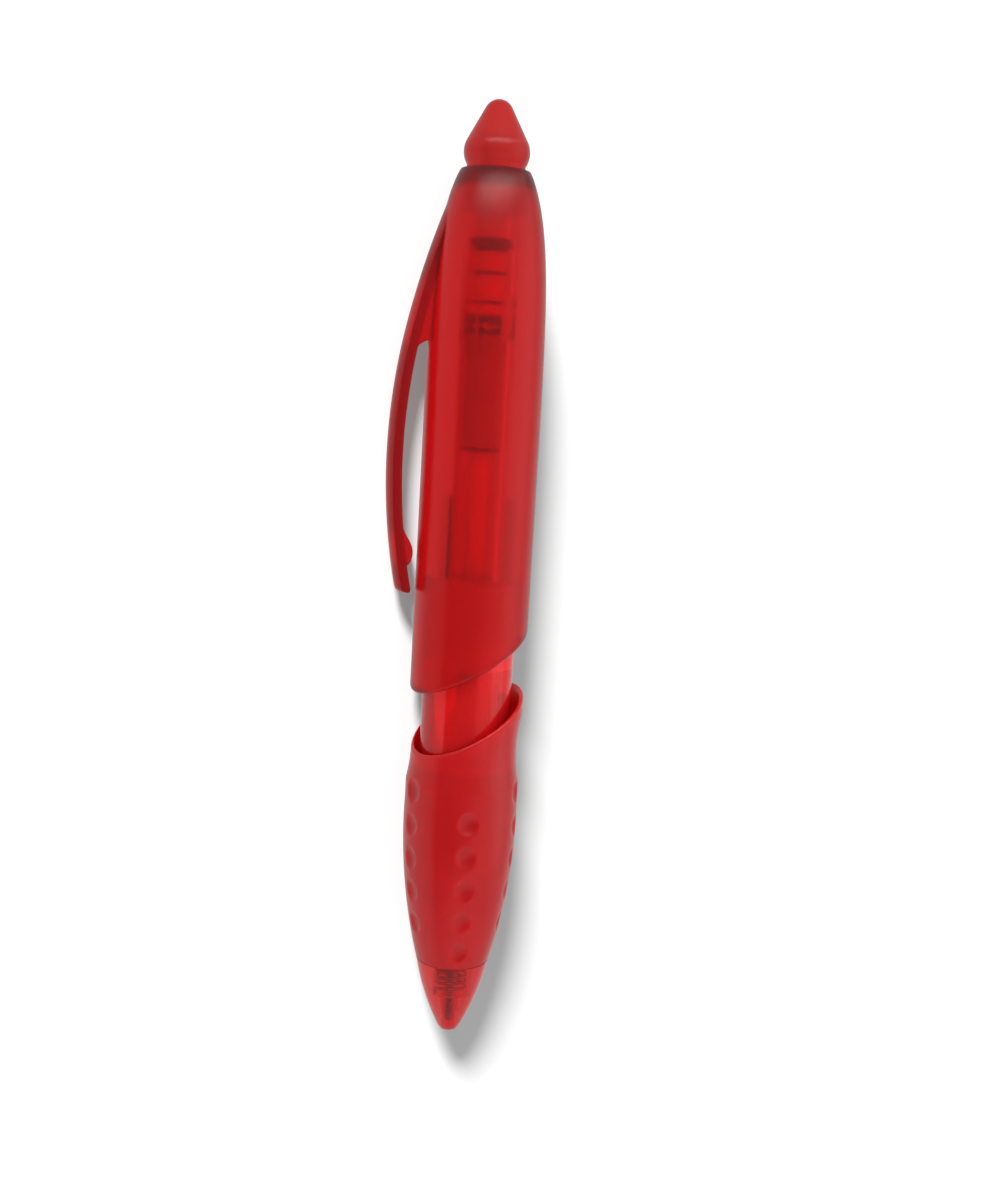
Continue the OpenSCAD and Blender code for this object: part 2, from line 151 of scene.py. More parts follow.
# upper barrel with its clip and guide ribs, one frosted moulding
barrel = {"radius": 8.0, "wallZ": (90.0, 80.0, 68.0), "around": 160,
          "rimZ": 120.9, "rimRadius": 4.75, "rimOut": (0.08, 0.12), "rimIn": (0.06, 0.1),
          "shoulder": 30.0, "fade": 7.2, "shoulderSteps": 28, "shoulderFirst": 3, "shoulderEase": 1.6,
          "pocketZ": 114.75, "pocketRadius": 4.5, "throatZ": 111.65, "throatRadius": 2.28,
          "boreRadius": 3.2, "boreZ": (80.0, 95.0),
          "socketRadius": 6.27, "socketZ": 66.55, "socketMidZ": 64.0,
          "edgeZ": 54.2, "edgeSlope": 29.0, "edgeTurn": 12.0, "edgeRise": 2.2,
          "edgeRound": 1.0, "edgeDegs": (15, 30, 45, 60, 75, 90), "mouthRound": 0.25, "mouthMid": 0.07}
clip = {"halfWidth": 2.5, "crown": 0.9, "browDrop": 0.16, "soft": 0.28, "crownSteps": 14, "backSteps": 6,
        "thick": 2.1, "reach": 12.8, "peakZ": 82.4, "curve": 85.0, "straightZ": 100.0, "straighter": 120.0,
        "endZ": 64.1, "endRound": ((0.62, 0.0), (0.3, 0.05), (0.1, 0.22), (0.0, 0.62)), "endRise": 1.0,
        "bumpZ": 69.6, "bumpRamp": 3.6, "bumpFoot": 1.75, "bumpGap": 0.75,
        "bumpTopZ": 73.4, "bumpSteps": 60,
        "armZ": 74.0, "armSteps": 24, "gapEndZ": 98.3, "gapDegs": (20, 40, 55, 70, 80, 90), "gapEase": 0.8,
        "rootRise": 0.6, "rootSteps": 24, "topZ": 117.1, "sink": 1.6, "pocketWall": 0.1}
ribs = {"lowZ": 98.55, "length": 6.1, "width": 1.6, "innerRadius": 2.73, "overlap": 0.5, "count": 4}
slots = {"lowZ": 66.0, "topZ": 77.6, "width": 1.4, "depth": 0.8, "overlap": 0.5, "count": 2}


def shoulderRadius(z):
    tail = math.exp(-barrel["shoulder"] / barrel["fade"])
    share = (math.exp(-(barrel["rimZ"] - z) / barrel["fade"]) - tail) / (1 - tail)
    return barrel["radius"] - (barrel["radius"] - barrel["rimRadius"]) * max(share, 0.0)


def barrelOutline():
    b = barrel
    radius, edge, low, inner = b["radius"], b["edgeRound"], b["edgeZ"], b["socketRadius"]
    line = [(radius, z) for z in b["wallZ"]]
    line += [(radius, low + b["edgeRise"], 1), (radius, low + edge, 1)]
    for turn in [math.radians(deg) for deg in b["edgeDegs"]]:
        line.append((radius - edge + edge * math.cos(turn), low + edge - edge * math.sin(turn), 1))
    mouth, mid = b["mouthRound"], b["mouthMid"]
    line += [(inner + mouth, low, 1), (inner + mid, low + mid, 1), (inner, low + mouth, 1)]
    line += [(inner, low + b["edgeRise"], 1), (inner, b["socketMidZ"]), (inner, b["socketZ"])]
    line += [(b["boreRadius"], z) for z in (b["socketZ"], *b["boreZ"], b["throatZ"])]
    line += [(b["throatRadius"], b["throatZ"]), (b["throatRadius"], b["pocketZ"])]
    (inAside, inDown), (outAside, outDown) = b["rimIn"], b["rimOut"]
    line += [(b["pocketRadius"], b["pocketZ"]), (b["pocketRadius"], b["rimZ"] - inDown)]
    line += [(b["pocketRadius"] + inAside, b["rimZ"]), (b["rimRadius"] - outAside, b["rimZ"])]
    line += [(b["rimRadius"], b["rimZ"] - outDown)]
    steps = b["shoulderSteps"]
    for i in range(b["shoulderFirst"], steps):  # rings stand closer towards the rim
        z = b["rimZ"] - b["shoulder"] * (i / steps) ** b["shoulderEase"]
        line.append((shoulderRadius(z), z))
    return line


def clipSection(z, outer, inner):
    c = clip
    crownRadius = (c["halfWidth"] ** 2 + c["crown"] ** 2) / (2 * c["crown"])
    edge, soft = c["halfWidth"], c["soft"]
    brow = max(outer - c["crown"] - c["browDrop"], inner + soft)  # the arm's flank goes from here
    armLow = max(outer - c["thick"], inner + soft)  # to here
    ring = []
    for y in spread(-edge + soft * 0.4, edge - soft * 0.4, c["crownSteps"]):
        drop = crownRadius - math.sqrt(crownRadius ** 2 - y * y)
        ring.append((outer - drop, y, z))
    ring += [(brow, edge, z), (armLow, edge, z), (inner + soft, edge, z)]
    ring += [(inner + soft * 0.3, edge - soft * 0.3, z), (inner, edge - soft, z)]
    ring += [(inner, y, z) for y in spread(edge - soft, -edge + soft, c["backSteps"])[1:]]
    ring += [(inner + soft * 0.3, -edge + soft * 0.3, z), (inner + soft, -edge, z)]
    ring += [(armLow, -edge, z), (brow, -edge, z)]
    return ring


def clipOuter(z):
    c = clip
    bend = min(z, c["straightZ"])
    outer = c["reach"] - c["curve"] + math.sqrt(c["curve"] ** 2 - (bend - c["peakZ"]) ** 2)
    if z > bend:  # a flatter arc carries on to the rim
        lean = math.asin((bend - c["peakZ"]) / c["curve"])
        rise = z - bend + c["straighter"] * math.sin(lean)
        outer += math.sqrt(c["straighter"] ** 2 - rise ** 2) - c["straighter"] * math.cos(lean)
    return outer


def clipInner(z):
    c = clip
    inner = clipOuter(z) - c["thick"]
    height = inner - barrel["radius"] - c["bumpGap"]
    above, below = (z - c["bumpZ"]) / c["bumpRamp"], (c["bumpZ"] - z) / c["bumpFoot"]
    if 0 <= above < 1:  # gripping bump, a long ramp above its crest and a short round below
        inner -= height * (0.5 + 0.5 * math.cos(math.pi * above))
    if 0 < below < 1:
        inner -= height * math.sqrt(1 - below ** 2)
    return inner


def makeClip():
    c = clip
    rings = []
    for cut, lift in c["endRound"]:  # rounded free end
        z = c["endZ"] + lift
        rings.append(clipSection(z, clipOuter(z) - cut, clipInner(z) + cut * 0.5))
    gap = clipInner(c["gapEndZ"]) - barrel["radius"]
    gapZ = c["gapEndZ"] - gap
    heights = spread(c["endZ"] + c["endRise"], c["bumpTopZ"], c["bumpSteps"])
    heights += spread(c["armZ"], gapZ, c["armSteps"])
    rings += [clipSection(z, clipOuter(z), clipInner(z)) for z in heights]
    for turn in [math.radians(deg) for deg in c["gapDegs"]]:  # rounded end of the gap
        z = gapZ + gap * math.sin(turn)
        root = shoulderRadius(z) - c["sink"]
        inner = root + (clipInner(z) - root) * math.cos(turn) ** c["gapEase"]
        rings.append(clipSection(z, clipOuter(z), inner))
    for z in spread(c["gapEndZ"] + c["rootRise"], c["topZ"], c["rootSteps"]):
        outer = clipOuter(z)
        depth = max(outer - shoulderRadius(z), 0.0) + c["sink"]
        rings.append(clipSection(z, outer, max(outer - depth, barrel["pocketRadius"] + c["pocketWall"])))
    around = len(rings[0])
    faces = latheFaces(len(rings), around, False)
    faces.append(tuple(range(around)))
    faces.append(tuple(range((len(rings) - 1) * around, len(rings) * around)))
    return addPiece("clipBlank", [p for ring in rings for p in ring], faces)


def makeBar(turnDeg, inner, outer, width, low, high):
    turn = math.radians(turnDeg)
    cos, sin, half = math.cos(turn), math.sin(turn), width / 2
    points = []
    for z in (low, high):
        for x, y in ((inner, -half), (outer, -half), (outer, half), (inner, half)):
            points.append((x * cos - y * sin, x * sin + y * cos, z))
    faces = [(0, 1, 2, 3), (4, 5, 6, 7), (0, 1, 5, 4), (1, 2, 6, 5), (2, 3, 7, 6), (3, 0, 4, 7)]
    return addPiece("barBlank", points, faces)


def makeBarrel():
    b = barrel
    slope, lowSide = math.tan(math.radians(b["edgeSlope"])), math.radians(b["edgeTurn"])
    piece = lathe("frostedBarrel", barrelOutline(), b["around"], slope, lowSide)
    applyBoolean(piece, makeClip(), "UNION")
    for i in range(ribs["count"]):
        rib = makeBar(360 * (i + 0.5) / ribs["count"], ribs["innerRadius"],
                      b["boreRadius"] + ribs["overlap"], ribs["width"],
                      ribs["lowZ"], ribs["lowZ"] + ribs["length"])
        applyBoolean(piece, rib, "UNION")
    for i in range(slots["count"]):  # key slots at the bore's lower end
        slot = makeBar(360 * i / slots["count"], b["boreRadius"] - slots["overlap"],
                       b["boreRadius"] + slots["depth"], slots["width"], slots["lowZ"], slots["topZ"])
        applyBoolean(piece, slot, "DIFFERENCE")
    mergeSlivers(piece)
    finishMesh(piece, meshing["sharpDeg"])
    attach(piece, "barrel")
    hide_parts("upper_barrel")
    return piece


frostedBarrel = makeBarrel()
print("barrel and clip:", len(frostedBarrel.data.polygons), "faces")

# push button
button = {"footZ": 120.3, "footRound": 0.12, "neckRadius": 3.925, "bellyRadius": 4.42, "bellyZ": 123.3,
          "bellyCurve": 3.2, "coneDeg": 27.0, "tipZ": 130.1, "tipRadius": 2.0, "arcSteps": 14,
          "holeRadius": 2.22, "holeTop": 125.55, "holeRound": 0.3, "around": 96}


def makeButton():
    b = button
    centre = b["bellyRadius"] - b["bellyCurve"]
    lowDeg = -math.degrees(math.acos((b["neckRadius"] - centre) / b["bellyCurve"]))
    hole, top, neck, foot = b["holeRadius"], b["holeTop"], b["neckRadius"], b["footZ"]
    line = [(0.0, top), (hole - b["holeRound"], top), (hole, top - b["holeRound"])]
    line += [(hole, foot), (neck - b["footRound"], foot), (neck, foot + b["footRound"])]
    line += arcPoints(centre, b["bellyZ"], b["bellyCurve"], lowDeg, b["coneDeg"], b["arcSteps"])
    line += arcPoints(0, b["tipZ"] - b["tipRadius"], b["tipRadius"], b["coneDeg"], 90, b["arcSteps"])
    piece = lathe("clickButton", line, b["around"], closed=False)
    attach(piece, "button")
    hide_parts("push_button")
    return piece


clickButton = makeButton()

# lower barrel: nose, bed under the grip and bare core tube, one clear moulding
core = {"noseRadius": 1.35, "noseZ": 10.9, "noseCurve": 37.0, "noseSteps": 16,
        "noseRound": (0.15, 0.03, 0.08),
        "footRadius": 5.2, "gripRadius": 8.0, "gripWideZ": 32.0, "gripWall": 1.2, "bedSteps": 18,
        "shelfZ": 39.5, "shelfRound": 0.15, "shelfFillet": 0.2,
        "coreRadius": 6.25, "coreZ": (46.0, 54.0), "topZ": 66.5, "topRound": 0.3,
        "boreRadius": 3.2, "chamberZ": 31.0, "chamberRadius": 2.5, "seatZ": 5.9, "backRadius": 1.31,
        "backRise": 1.0, "holeRadius": 0.98, "holeZ": 3.0, "holeRound": (0.08, 0.1), "around": 144}
gripDrop = core["gripRadius"] - core["footRadius"]
gripRun = core["gripWideZ"] - core["noseZ"]
gripCurve = (gripRun ** 2 + gripDrop ** 2) / (2 * gripDrop)


def gripSkin(z, wall):  # the grip's long curve, or the bed under it
    curve = gripCurve - wall
    return core["gripRadius"] - gripCurve + math.sqrt(curve ** 2 - (z - core["gripWideZ"]) ** 2)


def noseLine():
    c = core
    a, b = Vector((c["noseRadius"], 0.0)), Vector((c["footRadius"], c["noseZ"]))
    chord = b - a
    side = Vector((-chord.y, chord.x)).normalized()
    centre = (a + b) / 2 + side * math.sqrt(c["noseCurve"] ** 2 - (chord.length / 2) ** 2)
    fromDeg = math.degrees(math.atan2(a.y - centre.y, a.x - centre.x))
    toDeg = math.degrees(math.atan2(b.y - centre.y, b.x - centre.x))
    return arcPoints(centre.x, centre.y, c["noseCurve"], fromDeg, toDeg, c["noseSteps"])


def makeCore():
    c = core
    bed = c["gripRadius"] - c["gripWall"]
    tube, hole, bore = c["coreRadius"], c["holeRadius"], c["boreRadius"]
    nose = noseLine()
    holeAside, holeUp = c["holeRound"]
    endAside, midAside, midUp = c["noseRound"]
    line = [(hole, c["holeZ"]), (hole, holeUp), (hole + holeAside, 0.0)]
    line += [(nose[0][0] - endAside, 0.0), (nose[0][0] - midAside, midUp)] + nose[1:]
    line += [(gripSkin(z, c["gripWall"]), z) for z in spread(c["noseZ"], c["gripWideZ"], c["bedSteps"])]
    line += [(bed, c["shelfZ"] - c["shelfRound"]), (bed - c["shelfRound"], c["shelfZ"])]
    line += [(tube + c["shelfFillet"], c["shelfZ"]), (tube, c["shelfZ"] + c["shelfFillet"])]
    line += [(tube, z) for z in (*c["coreZ"], c["topZ"] - c["topRound"])]
    line += [(tube - c["topRound"], c["topZ"]), (bore, c["topZ"]), (bore, c["chamberZ"])]
    line += [(c["chamberRadius"], c["chamberZ"]), (c["chamberRadius"], c["seatZ"])]
    line += [(c["backRadius"], c["seatZ"]), (c["backRadius"], c["holeZ"] + c["backRise"])]
    piece = lathe("clearCore", line, c["around"])
    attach(piece, "barrel")
    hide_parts("lower_barrel")
    return piece


clearCore = makeCore()
print("button and core tube made")

# rubber grip with rows of dimples and a slanted, flared collar
grip = {"waistZ": 42.3, "waistDepth": 0.52, "waistCurve": 24.0, "browZ": 34.72, "skinSteps": 112,
        "footGap": 0.05, "footRound": 0.05, "footMid": (0.02, 0.1), "footRise": 0.3,
        "fit": 0.02, "flareDeg": 3.0,
        "collarZ": 40.0, "collarSteps": 24, "collarInZ": 40.2, "collarIn": (0.8, 0.55, 0.3),
        "shelfStep": 0.4, "bedSteps": 16, "rimZ": 46.1, "rimSlope": 31.0, "rimTurn": 26.0, "rimDrop": 0.35,
        "rimHeight": 0.36, "rimRound": ((0.0, 0.0), (0.06, 0.14), (0.2, 0.27), (0.38, 0.34), (0.5, 0.36),
                                        (0.64, 0.33), (0.82, 0.25), (0.95, 0.12), (1.0, 0.0)),
        "around": 240, "sharpDeg": 40}
dimples = {"ball": 3.2, "depth": 0.48, "fade": 0.01, "topZ": 36.4, "step": 4.82, "count": 5, "drop": 3.35,
           "spreadDeg": 67.0, "turnDeg": 92.0, "soft": 0.04, "near": 0.5, "trim": 0.0006}


def gripOuter(z):
    g = grip
    brow = gripSkin(g["browZ"], 0.0)
    radius = gripSkin(z, 0.0) if z < g["browZ"] else brow
    reach = g["waistCurve"] ** 2 - (z - g["waistZ"]) ** 2
    if reach > 0:
        radius = min(radius, brow - g["waistDepth"] + g["waistCurve"] - math.sqrt(reach))
    return radius


def dimpleCentres():
    d = dimples
    centre = core["gripRadius"] - gripCurve
    for side in (0, 180):
        for row in (-1, 0, 1):
            for i in range(d["count"]):
                z = d["topZ"] - d["step"] * i - (d["drop"] if row == 0 else 0.0)
                tilt = math.asin((z - core["gripWideZ"]) / gripCurve)
                away = gripCurve + d["ball"] - d["depth"] + d["fade"] * i
                radius, height = centre + away * math.cos(tilt), core["gripWideZ"] + away * math.sin(tilt)
                turn = math.radians(d["turnDeg"] + side + d["spreadDeg"] * row)
                yield Vector((radius * math.cos(turn), radius * math.sin(turn), height))


dimpleSpots = list(dimpleCentres())


def pressDimple(point):
    d = dimples
    for spot in dimpleSpots:
        arm = point - spot
        depth = d["ball"] - arm.length
        if depth > -d["near"]:
            soft = 0.5 * (depth + math.sqrt(depth * depth + d["soft"] ** 2)) - d["trim"]
            point = spot + arm.normalized() * (arm.length + max(soft, 0.0))
    return point


def makeGrip():
    g = grip
    low = core["noseZ"] + g["footGap"]
    bed = gripSkin(core["gripWideZ"], core["gripWall"]) + g["fit"]
    flare = math.tan(math.radians(g["flareDeg"]))
    slope, lowSide = math.tan(math.radians(g["rimSlope"])), math.radians(g["rimTurn"])

    def ringAt(radiusAt, height, lean=0.0, dip=False):
        ring = []
        for k in range(g["around"]):
            turn = 2 * math.pi * k / g["around"]
            z = height
            for _ in range(3):  # the radius changes with the height, so a leaning ring settles in steps
                z = height - lean * slope * radiusAt(z) * math.cos(turn - lowSide)
            point = Vector((radiusAt(z) * math.cos(turn), radiusAt(z) * math.sin(turn), z))
            ring.append(pressDimple(point) if dip else point)
        return ring

    def plainRing(radius, height, dip=False):
        return ringAt(lambda z: radius, height, 0.0, dip)

    def innerAt(z):
        return bed + max(z - core["shelfZ"], 0.0) * flare

    def wallAt(share):
        return lambda z: gripOuter(z) + (innerAt(z) - gripOuter(z)) * share

    def bedAt(z):
        return gripSkin(z, core["gripWall"]) + g["fit"]

    midAside, midUp = g["footMid"]
    rings = [plainRing(bedAt(low) + g["footRound"], low), plainRing(gripOuter(low) - g["footRound"], low)]
    rings += [plainRing(gripOuter(low + midUp) - midAside, low + midUp)]
    skin = spread(low + g["footRise"], g["collarZ"], g["skinSteps"])
    rings += [plainRing(gripOuter(z), z, True) for z in skin]
    # the collar's rings lean more and more until they reach the slanted rim
    rise = g["rimZ"] - g["rimDrop"] - g["collarZ"]
    for share in spread(0.0, 1.0, g["collarSteps"])[1:]:
        rings.append(ringAt(gripOuter, g["collarZ"] + rise * share, share, True))
    # rounded rim: outer edge, crest and inner edge share the wall's thickness
    rimLow = g["rimZ"] - g["rimHeight"]
    rings += [ringAt(wallAt(share), rimLow + lift, 1.0) for share, lift in g["rimRound"]]
    inRise = rimLow - g["collarInZ"]
    rings += [ringAt(innerAt, g["collarInZ"] + inRise * share, share) for share in g["collarIn"]]
    rings += [ringAt(innerAt, core["shelfZ"] + step) for step in (g["shelfStep"], -g["shelfStep"])]
    rings += [plainRing(bedAt(z), z) for z in spread(core["gripWideZ"], low + g["footRise"], g["bedSteps"])]
    points = [point for ring in rings for point in ring]
    piece = addPiece("softGrip", points, latheFaces(len(rings), g["around"], True), g["sharpDeg"])
    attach(piece, "barrel")
    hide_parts("grip_sleeve")
    return piece


softGrip = makeGrip()
print("grip:", len(softGrip.data.polygons), "faces,", len(dimpleSpots), "dimples")

# return spring, one wire that shortens with the refill
spring = {"wire": 0.45, "coil": 2.05, "lowZ": 5.95, "topZ": 26.95, "travel": 5.5,
          "lowTurns": 3, "openTurns": 9, "topTurns": 2, "closePitch": 0.9,
          "bend": 0.6, "bendDegs": (22, 45, 68, 90), "steps": 28, "sides": 10, "sharpDeg": 50}


def springHeight(t):
    s = spring
    low, top = s["lowZ"] + s["wire"] + s["bend"], s["topZ"] - s["wire"] - s["bend"]
    turns = s["lowTurns"] + s["openTurns"] + s["topTurns"]
    pitch = (top - low - s["closePitch"] * (s["lowTurns"] + s["topTurns"])) / s["openTurns"]
    if t < s["lowTurns"]:
        return low + s["closePitch"] * t
    if t < s["lowTurns"] + s["openTurns"]:
        return low + s["closePitch"] * s["lowTurns"] + pitch * (t - s["lowTurns"])
    return top - s["closePitch"] * (turns - t)


def springPath():  # turn and height along the wire, bent upright at both ends
    s = spring
    turns = s["lowTurns"] + s["openTurns"] + s["topTurns"]
    bendTurn = s["bend"] / s["coil"]
    lastTurn = bendTurn + 2 * math.pi * turns
    low, top = s["lowZ"] + s["wire"], s["topZ"] - s["wire"]
    bends = [math.radians(deg) for deg in s["bendDegs"]]
    path = [(0.0, s["lowZ"]), (0.0, low)]
    path += [(bendTurn * (1 - math.cos(a)), low + s["bend"] * math.sin(a)) for a in bends[:-1]]
    for i in range(turns * s["steps"] + 1):
        path.append((bendTurn + 2 * math.pi * i / s["steps"], springHeight(i / s["steps"])))
    path += [(lastTurn + bendTurn * math.sin(a), top - s["bend"] * math.cos(a)) for a in bends]
    path += [(bendTurn * 2 + 2 * math.pi * turns, s["topZ"])]
    return path


def makeSpring():
    s = spring
    path = springPath()
    line = [Vector((s["coil"] * math.cos(a), s["coil"] * math.sin(a), z)) for a, z in path]
    points = []
    for i, (a, z) in enumerate(path):
        out = Vector((math.cos(a), math.sin(a), 0))
        along = (line[min(i + 1, len(line) - 1)] - line[max(i - 1, 0)]).normalized()
        side = along.cross(out).normalized()
        out = side.cross(along)
        for k in range(s["sides"]):
            t = 2 * math.pi * k / s["sides"]
            points.append(line[i] + (out * math.cos(t) + side * math.sin(t)) * s["wire"] / 2)
    faces = latheFaces(len(path), s["sides"], False)
    faces.append(tuple(range(s["sides"])))
    faces.append(tuple(range((len(path) - 1) * s["sides"], len(path) * s["sides"])))
    piece = addPiece("coilSpring", points, faces, s["sharpDeg"])
    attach(piece, "barrel")
    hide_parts("return_spring")
    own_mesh(piece)
    return piece


coilSpring = makeSpring()
print("spring made")


# finishes
def newFinish(name):
    finish = bpy.data.materials.new(name)
    finish.use_nodes = True
    tree = finish.node_tree
    shader = tree.nodes["Principled BSDF"]
    return finish, tree, shader


def grain(tree, scale, detail=3.0, stretch=(1, 1, 1)):
    place = tree.nodes.new("ShaderNodeTexCoord")
    size = tree.nodes.new("ShaderNodeMapping")
    size.inputs["Scale"].default_value = stretch
    noise = tree.nodes.new("ShaderNodeTexNoise")
    noise.inputs["Scale"].default_value = scale
    noise.inputs["Detail"].default_value = detail
    tree.links.new(place.outputs["Object"], size.inputs["Vector"])
    tree.links.new(size.outputs["Vector"], noise.inputs["Vector"])
    return noise.outputs["Fac"]


noiseFrom, noiseTo = 0.3, 0.7  # most of the grain's noise lies between these


def fadeTo(tree, value, low, high):
    ramp = tree.nodes.new("ShaderNodeMapRange")
    ramp.inputs["From Min"].default_value = noiseFrom
    ramp.inputs["From Max"].default_value = noiseTo
    ramp.inputs["To Min"].default_value = low
    ramp.inputs["To Max"].default_value = high
    tree.links.new(value, ramp.inputs["Value"])
    return ramp.outputs["Result"]


def tintBetween(tree, value, first, second):
    ramp = tree.nodes.new("ShaderNodeValToRGB")
    ramp.color_ramp.elements[0].position = noiseFrom
    ramp.color_ramp.elements[1].position = noiseTo
    ramp.color_ramp.elements[0].color = (*first, 1)
    ramp.color_ramp.elements[1].color = (*second, 1)
    tree.links.new(value, ramp.inputs["Fac"])
    return ramp.outputs["Color"]


def addBump(tree, shader, height, strength, distance):
    bump = tree.nodes.new("ShaderNodeBump")
    bump.inputs["Strength"].default_value = strength
    bump.inputs["Distance"].default_value = distance
    tree.links.new(height, bump.inputs["Height"])
    tree.links.new(bump.outputs["Normal"], shader.inputs["Normal"])


def addAbsorption(finish, colour, density):
    tree = finish.node_tree
    soak = tree.nodes.new("ShaderNodeVolumeAbsorption")
    soak.inputs["Color"].default_value = (*colour, 1)
    soak.inputs["Density"].default_value = density
    tree.links.new(soak.outputs["Volume"], tree.nodes["Material Output"].inputs["Volume"])


# the tint times a share that goes from first to second while the value goes from low to high
def scaleTint(tree, tint, value, low, high, first, second):
    fade = tree.nodes.new("ShaderNodeMapRange")
    fade.interpolation_type = "SMOOTHSTEP"
    fade.inputs["From Min"].default_value = low
    fade.inputs["From Max"].default_value = high
    fade.inputs["To Min"].default_value = first
    fade.inputs["To Max"].default_value = second
    tree.links.new(value, fade.inputs["Value"])
    scaled = tree.nodes.new("ShaderNodeVectorMath")
    scaled.operation = "SCALE"
    tree.links.new(tint, scaled.inputs[0])
    tree.links.new(fade.outputs["Result"], scaled.inputs["Scale"])
    return scaled.outputs["Vector"]


# distance from a point in millimetres, along the axes that count
def spanFrom(tree, point, axes):
    place = tree.nodes.new("ShaderNodeTexCoord")
    arm = tree.nodes.new("ShaderNodeVectorMath")
    arm.operation = "SUBTRACT"
    arm.inputs[1].default_value = point
    size = tree.nodes.new("ShaderNodeVectorMath")
    size.operation = "MULTIPLY"
    size.inputs[1].default_value = [axis * perMetre for axis in axes]
    span = tree.nodes.new("ShaderNodeVectorMath")
    span.operation = "LENGTH"
    tree.links.new(place.outputs["Object"], arm.inputs[0])
    tree.links.new(arm.outputs["Vector"], size.inputs[0])
    tree.links.new(size.outputs["Vector"], span.inputs[0])
    return span.outputs["Value"]


# painted shade or painted light in zones along the pen: height, half length, share of the tint and softness
def paintLightAndShadeBands(tree, tint, lightAndShadeBands):
    for height, half, share, soft in lightAndShadeBands:
        span = spanFrom(tree, (0, lay(0, 0, height).y, 0), (0, 1, 0))
        tint = scaleTint(tree, tint, span, half - soft, half + soft, share, 1.0)
    return tint


# painted shade, darker outwards from the pen's axis: from this radius, to that radius, share of the tint
def paintOutwardShade(tree, tint, near, far, share):
    return scaleTint(tree, tint, spanFrom(tree, noseEnd, (1, 0, 1)), near, far, 1.0, share)


def plasticFinish(name, look):
    finish, tree, shader = newFinish(name)
    tint = tintBetween(tree, grain(tree, look["cloudScale"], 4.0), look["tintA"], look["tintB"])
    tint = paintLightAndShadeBands(tree, tint, look.get("lightAndShadeBands", []))
    for near, far, share in look.get("reach", []):
        tint = paintOutwardShade(tree, tint, near, far, share)
    tree.links.new(tint, shader.inputs["Base Color"])
    fine = grain(tree, look["grainScale"], 2.0)
    tree.links.new(fadeTo(tree, fine, look["roughA"], look["roughB"]), shader.inputs["Roughness"])
    shader.inputs["Transmission Weight"].default_value = look["clear"]
    shader.inputs["IOR"].default_value = look["ior"]
    shader.inputs["Specular IOR Level"].default_value = look.get("gloss", 0.5)
    if look.get("under"):
        shader.inputs["Subsurface Weight"].default_value = look["under"]
        shader.inputs["Subsurface Radius"].default_value = (1.0, 0.1, 0.1)
        shader.inputs["Subsurface Scale"].default_value = look["underDepth"]
    if look.get("soak"):
        addAbsorption(finish, look["soak"], look["soakDensity"])
    return finish


# its zone bands paint shade, a dark ring at the rim and a darker shoulder towards it, and its reach paints
# the clip darker outwards
frostedLook = {"cloudScale": 90.0, "tintA": (0.855, 0.014, 0.02), "tintB": (0.895, 0.019, 0.026),
               "grainScale": 2600.0, "roughA": 0.285, "roughB": 0.3, "clear": 0.92, "ior": 1.36,
               "lightAndShadeBands": [(120.0, 1.5, 0.6, 0.6), (121.0, 9.0, 0.9, 4.0)], "reach": [(8.1, 8.9, 0.85)],
               "soak": (0.985, 0.03, 0.05), "soakDensity": 120.0}
# painted shade: the clip arm's flanks dark, the web below them lighter, about as dark as the clip's outer
# faces
flankShadeLook = {**frostedLook, "tintA": (0.445, 0.004, 0.008), "tintB": (0.475, 0.006, 0.011), "reach": []}
webShadeLook = {**frostedLook, "tintA": (0.74, 0.003, 0.005), "tintB": (0.78, 0.005, 0.007), "reach": []}
boreLook = {**frostedLook, "roughA": 0.04, "roughB": 0.06, "clear": 0.98, "ior": 1.45}
# painted light: the socket's faces are tinted brighter than the bore
socketLightLook = {**boreLook, "tintA": (0.98, 0.014, 0.02), "tintB": (1.0, 0.019, 0.026), "ior": 1.25}
noseLook = {"cloudScale": 120.0, "tintA": (0.92, 0.05, 0.05), "tintB": (0.96, 0.065, 0.065),
            "grainScale": 900.0, "roughA": 0.1, "roughB": 0.13, "clear": 0.93, "ior": 1.46,
            "soak": (0.985, 0.03, 0.05), "soakDensity": 120.0}
tubeLook = {**noseLook, "tintA": (0.97, 0.012, 0.014), "tintB": (1.0, 0.016, 0.018),
            "roughA": 0.12, "roughB": 0.15, "clear": 0.72, "ior": 1.4, "gloss": 0.85}
sleeveLook = {**tubeLook, "clear": 0.5}
# its zone band lightens the collar, a painted light
gripLook = {"cloudScale": 160.0, "tintA": (0.42, 0.004, 0.006), "tintB": (0.465, 0.006, 0.008),
            "grainScale": 2200.0, "roughA": 0.28, "roughB": 0.3, "clear": 0.2, "ior": 1.42, "gloss": 0.6,
            "lightAndShadeBands": [(45.0, 5.1, 1.14, 0.5)], "under": 0.9, "underDepth": 0.003,
            "soak": (0.98, 0.03, 0.045), "soakDensity": 60.0}
# its zone band lightens the belly's foot by the rim, a painted light
buttonLook = {"cloudScale": 140.0, "tintA": (0.575, 0.011, 0.01), "tintB": (0.62, 0.014, 0.012),
              "grainScale": 2200.0, "roughA": 0.285, "roughB": 0.3, "clear": 0.6, "ior": 1.39, "gloss": 0.3,
              "lightAndShadeBands": [(120.4, 1.5, 1.3, 1.1)], "soak": (0.985, 0.03, 0.05), "soakDensity": 120.0}
